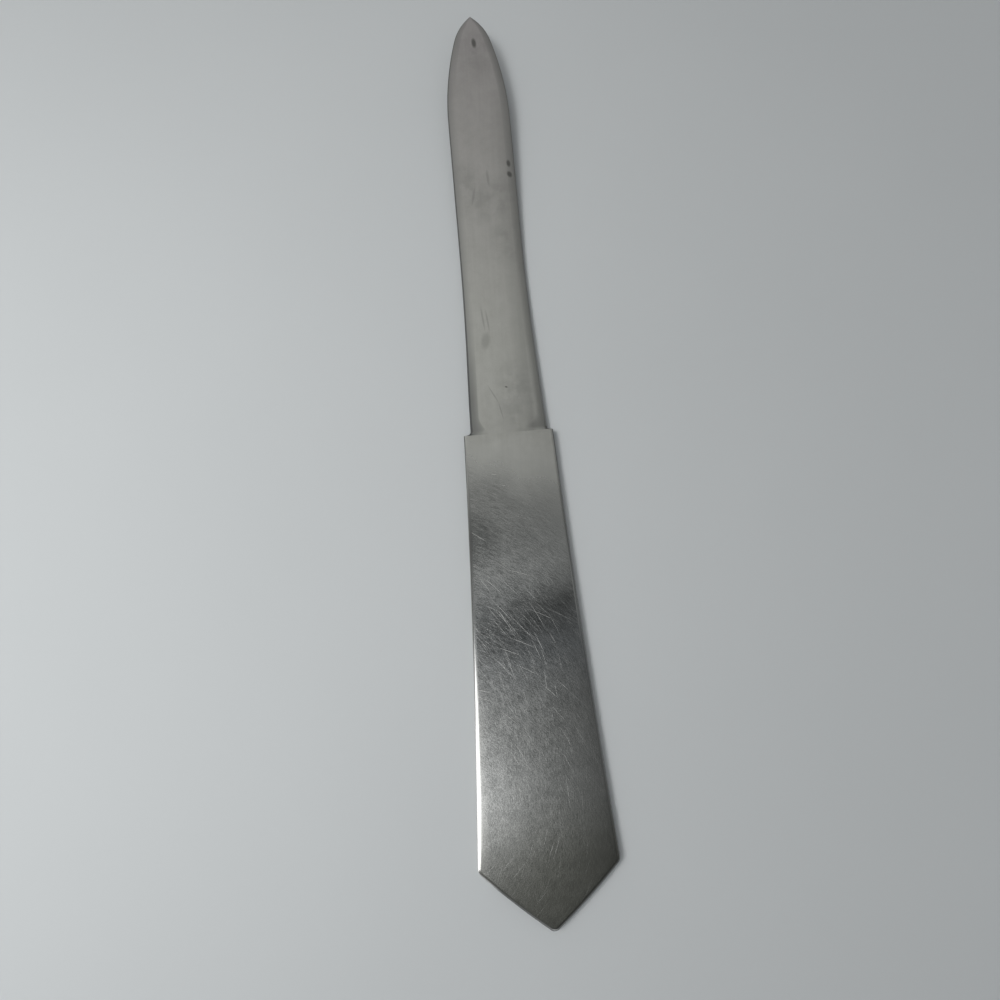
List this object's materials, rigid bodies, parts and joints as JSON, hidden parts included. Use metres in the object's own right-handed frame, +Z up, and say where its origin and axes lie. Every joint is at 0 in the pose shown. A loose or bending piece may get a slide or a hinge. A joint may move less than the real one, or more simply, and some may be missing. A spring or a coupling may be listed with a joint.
{
  "type": "letter opener",
  "caption": "All-metal letter opener: a slim ground blade with an upswept rounded-arch tip, set flush into a wide flat satin handle that ends in a blunt point.",
  "frame": {"origin": "on the table, under the middle of the overall length and width", "axes": "+Y along the blade towards the tip, +X across the handle, +Z up from the table"},
  "size_m": [0.031, 0.2242, 0.0066],
  "materials": {
    "blade_steel": "matte ground steel with a few corrosion pits",
    "handle_steel": "satin steel with fine diagonal scratches from use",
    "braze_alloy": "pale silver braze, dressed flush",
    "pin_steel": "bright drawn wire"
  },
  "bodies": {
    "root": {"blade": "blade_steel", "handle_upper_half": "handle_steel", "handle_lower_half": "handle_steel", "braze_layer": "braze_alloy", "front_tang_pin": "pin_steel", "rear_tang_pin": "pin_steel"}
  },
  "joints": []
}
